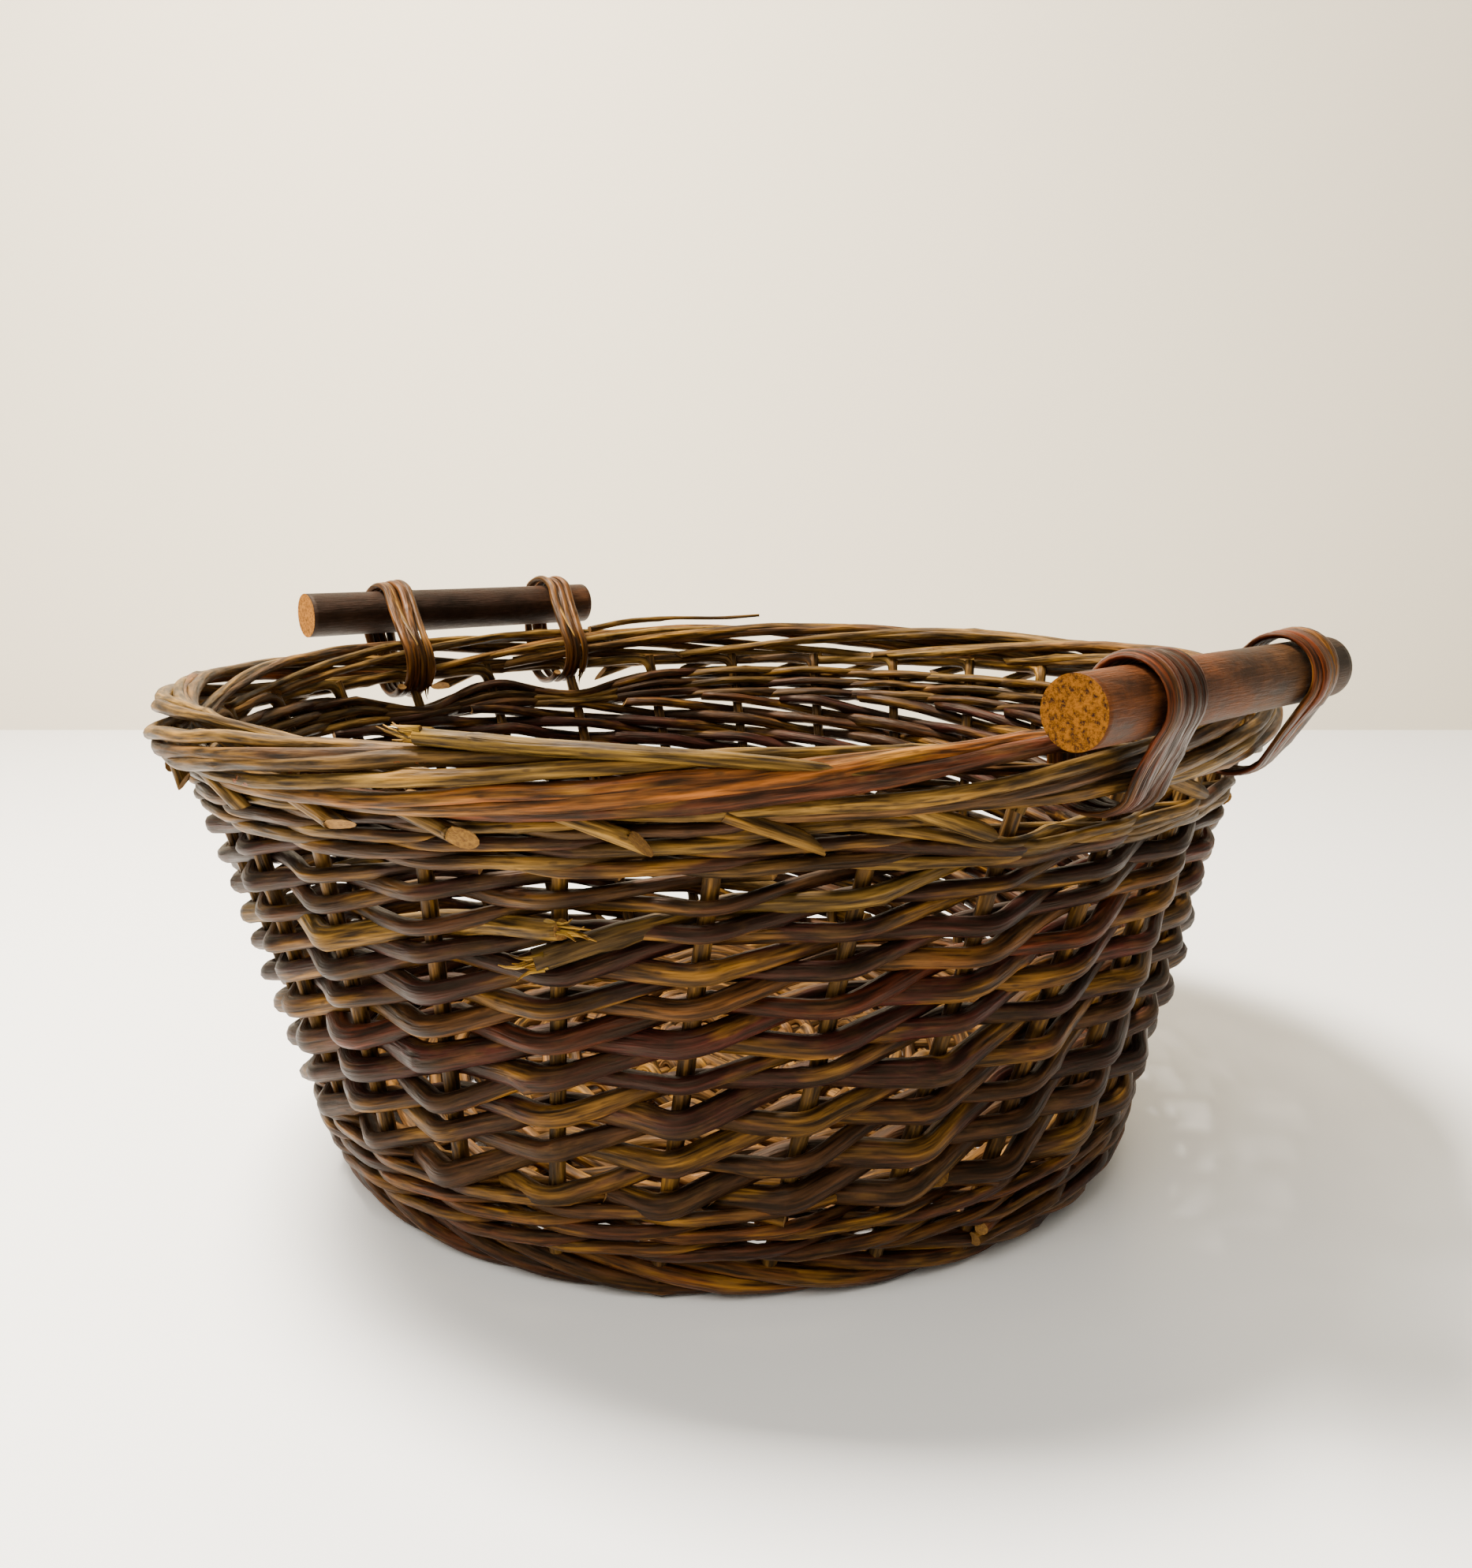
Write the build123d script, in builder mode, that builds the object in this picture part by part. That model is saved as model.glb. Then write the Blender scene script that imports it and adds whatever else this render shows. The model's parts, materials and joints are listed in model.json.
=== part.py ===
"""Round stake-and-strand willow basket with two lashed stick handles.

The frame's origin is on the table under the middle of the basket, +Z is up, the handles
stand at -X and +X, and their sticks run along Y. All sizes are in millimetres.
"""
import os
from math import cos, floor, radians, sin, sqrt

from build123d import *

# The oval of the basket, to the middle of the rolled border and to the outside of the foot.
rim_half_x = 235.7
rim_half_y = 254.5
rim_height = 213.7
foot_half_x = 189.4
foot_half_y = 189.9

# Willow rods, by the work they do.
border_diameter = 28.0
foot_border_diameter = 18.0
foot_wear = 0.6  # worn off the underside of the foot, which leaves it a narrow flat to stand on
stake_count = 28
stake_diameter = 7.5
stake_inset = 5.0  # the stakes stand this much inside the line from the foot to the border
stake_lean = 5.0  # degrees round the basket that a stake leans in each 100 mm of height
siding_diameter = 6.8
top_wale_diameter = 6.0
top_wale_rounds = 2
upsett_rounds = 3

# The base: thin sticks threaded through slits in thicker ones, then fanned out and woven.
base_stick_count = 5
long_stick_diameter = 6.6
cross_stick_diameter = 10.0
base_stick_spacing = 8.0
fan_start = 30.0  # how far from the middle the sticks begin to fan out
base_weave_thickness = 3.5  # of the weave over the sticks, and of that under them

# Handle sticks and their lashings.
stick_diameter = 25.4
stick_length = 186.0
stick_taper = 0.95  # far end over near end
stick_edge_fillet = 0.8
stick_out = {"right": 16.8, "left": 18.0}  # from the end of the oval out to the stick's middle
stick_shift = {"right": 14.0, "left": -6.0}  # from the XZ plane to the stick's middle
stick_up = {"right": 24.5, "left": 27.0}  # from the border's middle up to the stick's axis
stick_skew = {"right": -4.0, "left": 2.9}  # degrees about Z
# Each lashing is counted in stakes from the middle of the right handle. A half lies between two.
lashed_at = {"right": {"front": -0.5, "back": 1.5},
             "left": {"front": stake_count / 2 + 1, "back": stake_count / 2 - 1}}
wraps_each_side = 2  # of a lashing's middle
wrap_width = 5.5
wrap_thickness = 2.6

# Clearances.
weave_gap = 0.85  # between rods that cross
wale_gap = 0.5  # between the top wales, and from them to the siding
side_gap = 0.5  # between a rod and the stake it bends round
bend_room = 1.1  # a rod crosses its stake aslant, and needs this much more room
end_gap = 3.0  # between the butt and the tip of a rod that goes once round
wrap_gap = 0.5  # between neighbouring wraps
stake_play = 1.2  # from a wrap to the stake beside it
border_play = 2.9  # inside a lashing, round the border
stick_play = 0.7  # inside a lashing, round the stick
wale_play = 2.6  # from a lashing down to the wale
seat = 7.0  # how deep a stake runs into the border and into the foot
base_gap = 0.3  # between the base's pieces, and from the base to its surroundings

border_radius = border_diameter / 2
foot_radius = foot_border_diameter / 2
stake_radius = stake_diameter / 2
stick_radius = stick_diameter / 2
stake_step = 360 / stake_count
wall_low = foot_border_diameter - seat
wall_high = rim_height - border_radius + seat
rim_segments = 2 * stake_count


def wall_point(turn, height, outward=0.0):
    """A point on the cone-like wall, at an angle in degrees, moved out along the oval's normal."""
    share = height / rim_height
    half_x = foot_half_x + (rim_half_x - foot_half_x) * share
    half_y = foot_half_y + (rim_half_y - foot_half_y) * share
    c = cos(radians(turn))
    s = sin(radians(turn))
    length = sqrt((half_y * c) ** 2 + (half_x * s) ** 2)
    return Vector(half_x * c + outward * half_y * c / length,
                  half_y * s + outward * half_x * s / length, height)


def stake_turn(number, height):
    """The angle of a stake's middle at a height: on its mark at the rim, and behind it below."""
    return number * stake_step - stake_lean * (rim_height - height) / 100


def stake_point(number, height):
    """A point on the axis of a straight stake."""
    low = wall_point(stake_turn(number, wall_low), wall_low, -stake_inset)
    high = wall_point(stake_turn(number, wall_high), wall_high, -stake_inset)
    return low + (high - low) * ((height - wall_low) / (wall_high - wall_low))


def beside_stake(number, height, offset):
    """A point in front of a stake, or behind it where the offset is negative."""
    turn = stake_turn(number, height)
    out = wall_point(turn, height, 1.0) - wall_point(turn, height)
    along = stake_point(number, wall_high) - stake_point(number, wall_low)
    square = (out - along * (out.dot(along) / along.dot(along))).normalized()
    return stake_point(number, height) + square * offset


def rod_along(points, diameter, closed=False):
    """A round rod through points in order, with a mitred bend at each."""
    if closed:
        points = [(points[-1] + points[0]) / 2] + points
    with BuildPart() as rod:
        with BuildLine():
            Polyline(*points, close=closed)
        with BuildSketch(Plane(origin=points[0], z_dir=points[1] - points[0])):
            Circle(diameter / 2)
        sweep(transition=Transition.RIGHT)
    return rod.part


def save(part, name):
    """Names a finished piece and writes it."""
    part.label = name
    export_step(part, f"parts/{name}.step")


def oval_ring(height, outward, diameter):
    """A round ring that follows the wall's oval at one height."""
    turns = [360 * i / rim_segments for i in range(rim_segments)]
    return rod_along([wall_point(t, height, outward) for t in turns], diameter, closed=True)


def wale_round(height, diameter, first_side):
    """One round of waling, in front of every second stake, whose ends meet between stakes."""
    offset = (stake_radius + diameter / 2 + side_gap) * bend_room
    points = []
    for number in range(stake_count):
        side = first_side if number % 2 == 0 else -first_side
        points.append(beside_stake(number, height, side * offset))
    meeting = (points[0] + points[-1]) / 2
    pull_back = (points[0] - points[-1]).normalized() * (end_gap / 2)
    return rod_along([meeting + pull_back] + points + [meeting - pull_back], diameter)


os.makedirs("parts", exist_ok=True)

# The rolled border and the foot border, which the stakes run into.
save(oval_ring(rim_height, 0.0, border_diameter), "rolled_border")
foot_middle = foot_radius - foot_wear
foot_ring_inset = foot_radius + (rim_half_x - foot_half_x) * foot_middle / rim_height
with BuildPart() as foot_border:
    add(oval_ring(foot_middle, -foot_ring_inset, foot_border_diameter))
    split(bisect_by=Plane.XY, keep=Keep.TOP)
save(foot_border.part, "foot_border")

# The upright stakes, alike but for their place.
with BuildPart() as stakes:
    for number in range(stake_count):
        low = stake_point(number, wall_low)
        high = stake_point(number, wall_high)
        with BuildSketch(Plane(origin=low, z_dir=high - low)):
            Circle(stake_radius)
        extrude(amount=(high - low).length)
save(stakes.part, "stakes")

# Upsett: rounds of waling that set the stakes up from the foot.
upsett_pitch = siding_diameter + weave_gap
upsett_base = foot_border_diameter + weave_gap + siding_diameter / 2
for i in range(upsett_rounds):
    side = 1 if i % 2 == 0 else -1
    ring = wale_round(upsett_base + i * upsett_pitch, siding_diameter, side)
    save(ring, f"upsett_wale_{i + 1:02d}")

# Top wale: it ends below the place where the lashings pass under the border.
lashing_depth = border_play + wrap_thickness + wale_play
wale_top = rim_height - border_radius - lashing_depth
top_wale_pitch = top_wale_diameter + wale_gap
top_wale_base = wale_top - top_wale_diameter / 2 - (top_wale_rounds - 1) * top_wale_pitch
for i in range(top_wale_rounds):
    side = 1 if i % 2 == 0 else -1
    ring = wale_round(top_wale_base + i * top_wale_pitch, top_wale_diameter, side)
    save(ring, f"top_wale_{i + 1:02d}")

# French randing: one rod starts beside each stake, and all climb together, one stake at a
# time, in front of one stake and behind the next.
butt_length = 0.5  # of a step, before the first stake
tip_length = 0.4  # of a step, past the last stake
siding_low = upsett_base + (upsett_rounds - 0.5) * upsett_pitch
siding_high = top_wale_base - top_wale_diameter / 2 - wale_gap
first_height = siding_low + siding_diameter / 2
last_height = siding_high - siding_diameter / 2
least_climb = siding_diameter + weave_gap
climb_steps = floor((last_height - first_height) / least_climb - butt_length - tip_length)
climb = (last_height - first_height) / (climb_steps + butt_length + tip_length)
siding_offset = (stake_radius + siding_diameter / 2 + side_gap) * bend_room


def siding_point(first_stake, step):
    """Where a siding rod is after a number of steps, in front of its even stakes."""
    height = first_height + (step + butt_length) * climb
    side = 1 if step % 2 == 0 else -1
    return beside_stake(first_stake + step, height, side * siding_offset)


for number in range(stake_count):
    points = [siding_point(number, step) for step in range(-1, climb_steps + 2)]
    butt = points[1] + (points[0] - points[1]) * butt_length
    tip = points[-2] + (points[-1] - points[-2]) * tip_length
    rod = rod_along([butt] + points[1:-1] + [tip], siding_diameter)
    save(rod, f"randing_rod_{number + 1:02d}")

# The base. Thin sticks pass through slits in the thick ones, and all fan out like spokes
# between the weave under them and the weave over them.
base_bottom = foot_border_diameter - foot_wear + base_gap
base_height = base_bottom + base_weave_thickness + base_gap + cross_stick_diameter / 2
wale_inset = stake_inset + siding_offset + siding_diameter / 2 + base_gap
base_lip = (rim_half_x - foot_half_x) * base_bottom / rim_height
base_half_x = foot_half_x + base_lip - wale_inset
base_half_y = foot_half_y + base_lip - wale_inset
spoke_step = 90 / base_stick_count
spoke_reach = min(base_half_x, base_half_y)


def base_stick_path(index, along_x):
    """A base stick: straight through the middle, fanned out past it."""
    place = index - (base_stick_count - 1) / 2
    swing = radians(place * spoke_step)
    far_along = spoke_reach * cos(swing)
    far_aside = spoke_reach * sin(swing)
    aside = place * base_stick_spacing
    flat = [(-far_along, far_aside), (-fan_start, aside), (fan_start, aside),
            (far_along, far_aside)]
    if not along_x:
        flat = [(y, x) for x, y in flat]
    return [Vector(x, y, base_height) for x, y in flat]


slit_width = base_stick_count * base_stick_spacing
slit_height = long_stick_diameter + 2 * base_gap
with BuildPart() as cross_sticks:
    for index in range(base_stick_count):
        add(rod_along(base_stick_path(index, True), cross_stick_diameter))
    with BuildSketch(Plane.XY.offset(base_height - slit_height / 2)):
        Rectangle(slit_width, slit_width + cross_stick_diameter)
    extrude(amount=slit_height, mode=Mode.SUBTRACT)
save(cross_sticks.part, "base_cross_sticks")

with BuildPart() as long_sticks:
    for index in range(base_stick_count):
        add(rod_along(base_stick_path(index, False), long_stick_diameter))
save(long_sticks.part, "base_long_sticks")


def base_weave(bottom):
    """A plain disc for the weave on one side of the sticks."""
    with BuildPart() as weave:
        with BuildSketch(Plane.XY.offset(bottom)):
            Ellipse(base_half_x, base_half_y)
        extrude(amount=base_weave_thickness)
    return weave.part


save(base_weave(base_bottom), "base_weave_under")
save(base_weave(base_height + cross_stick_diameter / 2 + base_gap), "base_weave_over")


# Handles: a straight stick over each side of the border, held by two lashings.
def stick_line(side):
    """A stick's middle, and the direction of its axis."""
    sign = 1 if side == "right" else -1
    skew = radians(stick_skew[side])
    middle = Vector(sign * (rim_half_x + stick_out[side]), stick_shift[side],
                    rim_height + stick_up[side])
    return middle, Vector(sin(skew), cos(skew), 0)


def handle_stick(side):
    """A round stick that narrows a little towards +Y."""
    middle, along = stick_line(side)
    near = middle - along * (stick_length / 2)
    far = middle + along * (stick_length / 2)
    with BuildPart() as stick:
        with BuildSketch(Plane(origin=near, z_dir=along)):
            Circle(stick_radius)
        with BuildSketch(Plane(origin=far, z_dir=along)):
            Circle(stick_radius * stick_taper)
        loft()
        fillet(stick.edges().filter_by(GeomType.CIRCLE), stick_edge_fillet)
    return stick.part


def lashed_point(side, number):
    """The border's middle where a lashing passes round it."""
    y = stake_point(number, rim_height - border_radius - border_play).Y
    x = rim_half_x * sqrt(1 - (y / rim_half_y) ** 2)
    return Vector(x if side == "right" else -x, y, rim_height)


def oval_reach(place, outward):
    """How far it is from a place near the rim's oval to the oval, in a level direction."""
    a = (outward.X / rim_half_x) ** 2 + (outward.Y / rim_half_y) ** 2
    b = place.X * outward.X / rim_half_x ** 2 + place.Y * outward.Y / rim_half_y ** 2
    c = (place.X / rim_half_x) ** 2 + (place.Y / rim_half_y) ** 2 - 1
    return (sqrt(b * b - a * c) - b) / a


def wrap_steps(number):
    """How far the wraps of a lashing lie from its middle, with room between for any stake."""
    half_room = wrap_gap / 2
    if number == floor(number):
        half_room = stake_radius + stake_play
    pitch = wrap_width + wrap_gap
    steps = [half_room + wrap_width / 2 + i * pitch for i in range(wraps_each_side)]
    return [-step for step in reversed(steps)] + steps


def lashing(side, number):
    """The flattened wraps that tie a stick to the border, square to the line it rocks about."""
    front, back = (lashed_point(side, n) for n in lashed_at[side].values())
    along = (back - front).normalized()
    up = Vector(0, 0, 1)
    outward = along.cross(up) * (1 if side == "right" else -1)
    stick_middle, stick_way = stick_line(side)
    with BuildPart() as wraps:
        for step in wrap_steps(number):
            place = lashed_point(side, number) + along * step
            share = (place - stick_middle).dot(along) / stick_way.dot(along)
            to_stick = (stick_middle + stick_way * share - place).dot(outward)
            with BuildSketch(Plane(origin=place, x_dir=outward, z_dir=outward.cross(up))):
                for extra, mode in ((wrap_thickness, Mode.ADD), (0.0, Mode.SUBTRACT)):
                    with BuildSketch(mode=Mode.PRIVATE) as loop:
                        with Locations((oval_reach(place, outward), 0)):
                            Circle(border_radius + border_play + extra)
                        with Locations((to_stick, stick_up[side])):
                            Circle(stick_radius + stick_play + extra)
                        make_hull(loop.edges())
                    add(loop.sketch, mode=mode)
            extrude(amount=wrap_width / 2, both=True)
    return wraps.part


for side, places in lashed_at.items():
    save(handle_stick(side), f"{side}_handle_stick")
    for place, number in places.items():
        save(lashing(side, number), f"{side}_lashing_{place}")
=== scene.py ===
import json
import math
import random

import bpy
import numpy as np
from mathutils import Matrix, Vector


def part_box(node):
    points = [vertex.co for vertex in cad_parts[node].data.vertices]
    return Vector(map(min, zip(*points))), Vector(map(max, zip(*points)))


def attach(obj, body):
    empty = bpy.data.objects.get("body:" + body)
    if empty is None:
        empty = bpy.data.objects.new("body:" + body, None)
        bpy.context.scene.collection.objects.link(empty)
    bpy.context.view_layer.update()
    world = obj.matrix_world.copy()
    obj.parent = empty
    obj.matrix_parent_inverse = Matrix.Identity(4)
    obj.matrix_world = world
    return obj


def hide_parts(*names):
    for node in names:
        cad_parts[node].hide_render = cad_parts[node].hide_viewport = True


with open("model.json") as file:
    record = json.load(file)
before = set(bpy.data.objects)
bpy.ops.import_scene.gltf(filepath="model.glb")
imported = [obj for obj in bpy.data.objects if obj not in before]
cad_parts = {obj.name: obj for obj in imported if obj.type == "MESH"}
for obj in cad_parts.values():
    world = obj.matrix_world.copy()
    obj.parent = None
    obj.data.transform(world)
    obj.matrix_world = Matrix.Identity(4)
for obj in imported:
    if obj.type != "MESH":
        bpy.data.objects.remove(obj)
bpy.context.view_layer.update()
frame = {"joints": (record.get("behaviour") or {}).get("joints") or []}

# ---------------------------------------------------------------------------
# The stakes. Twenty-eight unpeeled willow rods stand up from the foot to the rim and lean a
# little round the basket. Everything else is woven round them, so their places come first.
# Lengths are in millimetres until a mesh is made, and the oval is read from the frame.
# ---------------------------------------------------------------------------
border_low, border_high = (corner * 1000 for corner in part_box("rolled_border"))
foot_low, foot_high = (corner * 1000 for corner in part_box("foot_border"))
border_radius = (border_high.z - border_low.z) / 2
rim_height = (border_high.z + border_low.z) / 2
rim_half = (border_high.x - border_radius, border_high.y - border_radius)
foot_half = (foot_high.x, foot_high.y)
foot_top = foot_high.z

stake_count = 28
stake_inset = 5.0
stake_lean = 5.0
stake_radius = 3.1
stake_low = 10.0
stake_high = rim_height - 6.0


def wall_point(turn, height, outward=0.0):
    """A point on the sloping wall, at an angle in degrees, moved out from the oval."""
    share = height / rim_height
    half_x = foot_half[0] + (rim_half[0] - foot_half[0]) * share
    half_y = foot_half[1] + (rim_half[1] - foot_half[1]) * share
    c = math.cos(math.radians(turn))
    s = math.sin(math.radians(turn))
    length = math.hypot(half_y * c, half_x * s)
    return np.array([half_x * c + outward * half_y * c / length,
                     half_y * s + outward * half_x * s / length, height])


def stake_turn(number, height):
    """The angle of a stake's middle: on its mark at the rim, and behind it lower down."""
    return number * 360 / stake_count - stake_lean * (rim_height - height) / 100


def stake_point(number, height):
    """A point on the axis of a straight stake. The number may lie between two stakes."""
    low = wall_point(stake_turn(number, stake_low), stake_low, -stake_inset)
    high = wall_point(stake_turn(number, stake_high), stake_high, -stake_inset)
    return low + (high - low) * (height - stake_low) / (stake_high - stake_low)


def unit(way):
    """The same direction with a length of 1."""
    return way / np.linalg.norm(way)


def linear(colour):
    """An sRGB hex colour as the linear numbers that Blender's sockets and attributes hold."""
    parts = [int(colour[i:i + 2], 16) / 255 for i in (1, 3, 5)]
    return [c / 12.92 if c <= 0.04045 else ((c + 0.055) / 1.055) ** 2.4 for c in parts]


def wander(chance, length, step, size):
    """A smooth random line with one value per place: a new aim every step, eased between."""
    aims = [chance.uniform(-size, size) for _ in range(int(length[-1] / step) + 3)]
    place = np.asarray(length) / step
    low = place.astype(int)
    ease = place - low
    ease = ease * ease * (3 - 2 * ease)
    aims = np.array(aims)
    return aims[low] * (1 - ease) + aims[low + 1] * ease


def lay_rod(path, radius, colours, seed, sides=12, flat=1.0, facing=None, slant=(0.0, 0.0),
            knots=60.0, lumps=0.05, peel=0.0, twist=0.0, waver=0.0, uneven=1.0):
    """One rod as rings of points along a path: places, faces, and what its bark is like.

    radius and colours run from the butt to the tip. flat is the thickness over the width,
    facing the direction that the flat side looks, slant how far each cut end is out of
    square, knots the distance between buds, peel how much outer bark has come off, waver how
    far the rod strays from the path, and uneven how far it is out of round.
    """
    chance = random.Random(seed)
    path = np.asarray(path, float)
    count = len(path)
    ahead = np.gradient(path, axis=0)
    ahead /= np.linalg.norm(ahead, axis=1)[:, None]
    steps = np.linalg.norm(np.diff(path, axis=0), axis=1)
    length = np.concatenate([[0.0], np.cumsum(steps)])
    share = length / length[-1]
    aside = np.zeros_like(path)
    if facing is None:
        start = np.array([0.0, 0.0, 1.0])
        start -= ahead[0] * start.dot(ahead[0])
        aside[0] = unit(start)
        for i in range(1, count):
            step = aside[i - 1] - ahead[i] * aside[i - 1].dot(ahead[i])
            aside[i] = unit(step)
    else:
        facing = np.broadcast_to(facing, path.shape)
        aside = facing - ahead * (facing * ahead).sum(1)[:, None]
        aside /= np.linalg.norm(aside, axis=1)[:, None]
    across = np.cross(ahead, aside)
    path = path + aside * wander(chance, length, 26.0, waver)[:, None]
    path = path + across * wander(chance, length, 26.0, waver)[:, None]
    thick = np.interp(share, np.linspace(0, 1, len(radius)), radius)
    thick = thick * (1 + wander(chance, length, 35.0, lumps))
    around = np.linspace(0, 2 * math.pi, sides, endpoint=False)
    turn = around[None, :] + (wander(chance, length, 90.0, 0.5) + twist * share)[:, None]
    lobes = 1 + uneven * (0.06 * np.cos(2 * turn + chance.uniform(0, 6))
                          + 0.045 * np.cos(3 * turn + chance.uniform(0, 6)))
    size = thick[:, None] * lobes
    bud = chance.uniform(0.3, 1.0) * knots
    bud_turn = chance.uniform(0, 6.28)
    scar = np.zeros_like(size)
    while bud < length[-1] - 5:
        near = np.exp(-((length - bud) / 3.2) ** 2)[:, None]
        ring = np.exp(-((length - bud) / 2.0) ** 2)[:, None]
        side = np.clip(np.cos(around[None, :] - bud_turn), 0, 1) ** 3
        size = size * (1 + 0.24 * near * side + 0.06 * ring)
        scar = np.maximum(scar, near * side)
        bud += knots * chance.uniform(0.7, 1.3)
        bud_turn += math.pi + chance.uniform(-0.6, 0.6)
    lift = size * np.cos(around) * flat
    swing = size * np.sin(around)
    places = path[:, None, :] + aside[:, None, :] * lift[..., None] \
        + across[:, None, :] * swing[..., None]
    for row, tilt in ((0, slant[0]), (-1, slant[1])):
        places[row] += ahead[row] * (tilt * thick[row] * np.cos(around + seed))[:, None]
    bark = np.stack([size * np.cos(around), size * np.sin(around),
                     np.broadcast_to(length[:, None], size.shape) + seed * 137.0 % 9000], -1)
    shades = np.array([linear(c) for c in colours])
    wear = np.clip(share + wander(chance, length, 110.0, 0.18), 0, 1)
    skin = np.stack([np.interp(wear, np.linspace(0, 1, len(shades)), shades[:, k])
                     for k in range(3)], -1)
    skin = skin * (1 + wander(chance, length, 45.0, 0.22))[:, None]
    first = np.arange(count - 1)[:, None] * sides
    k = np.arange(sides)
    nxt = (k + 1) % sides
    walls = np.stack([first + k, first + nxt, first + sides + nxt, first + sides + k], -1)
    walls = walls.reshape(-1, 4)
    ends = [list(range(sides))[::-1], list(range((count - 1) * sides, count * sides))]
    return {"places": places.reshape(-1, 3), "walls": walls, "ends": ends,
            "bark": bark.reshape(-1, 3), "skin": np.repeat(skin, sides, 0),
            "scar": scar.reshape(-1), "peel": np.full(count * sides, peel)}


def make_piece(name, rods, bark_material, end_material):
    """One object from one rod or several, in metres, with its bark attributes."""
    places, faces, ends, start = [], [], [], 0
    for rod in rods:
        places.append(rod["places"])
        faces += (rod["walls"] + start).tolist()
        ends += [[v + start for v in end] for end in rod["ends"]]
        start += len(rod["places"])
    mesh = bpy.data.meshes.new(name)
    mesh.from_pydata((np.concatenate(places) / 1000).tolist(), [], faces + ends)
    mesh.materials.append(bark_material)
    mesh.materials.append(end_material)
    index = np.zeros(len(faces) + len(ends), np.int32)
    index[len(faces):] = 1
    mesh.polygons.foreach_set("material_index", index)
    smooth = np.ones(len(faces) + len(ends), bool)
    smooth[len(faces):] = False
    mesh.polygons.foreach_set("use_smooth", smooth)
    bark = np.concatenate([rod["bark"] for rod in rods]) / 1000
    mesh.attributes.new("bark", "FLOAT_VECTOR", "POINT").data.foreach_set(
        "vector", bark.astype(np.float32).ravel())
    skin = np.concatenate([rod["skin"] for rod in rods])
    skin = np.concatenate([skin, np.ones((len(skin), 1))], 1)
    mesh.attributes.new("skin", "FLOAT_COLOR", "POINT").data.foreach_set(
        "color", skin.astype(np.float32).ravel())
    for key in ("scar", "peel"):
        values = np.concatenate([rod[key] for rod in rods])
        mesh.attributes.new(key, "FLOAT", "POINT").data.foreach_set(
            "value", values.astype(np.float32))
    mesh.update()
    piece = bpy.data.objects.new(name, mesh)
    bpy.context.scene.collection.objects.link(piece)
    return piece


def add_node(tree, kind, inputs=None, **settings):
    """Adds one shader node, sets its own settings, and fills or links its inputs."""
    made = tree.nodes.new("ShaderNode" + kind)
    for key, value in settings.items():
        setattr(made, key, value)
    for key, value in (inputs or {}).items():
        if isinstance(value, bpy.types.NodeSocket):
            tree.links.new(value, made.inputs[key])
        else:
            made.inputs[key].default_value = value
    return made


def new_material(name):
    """An empty material with its output and one Principled shader."""
    material = bpy.data.materials.new(name)
    material.use_nodes = True
    tree = material.node_tree
    shader = tree.nodes["Principled BSDF"]
    return material, tree, shader


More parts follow.
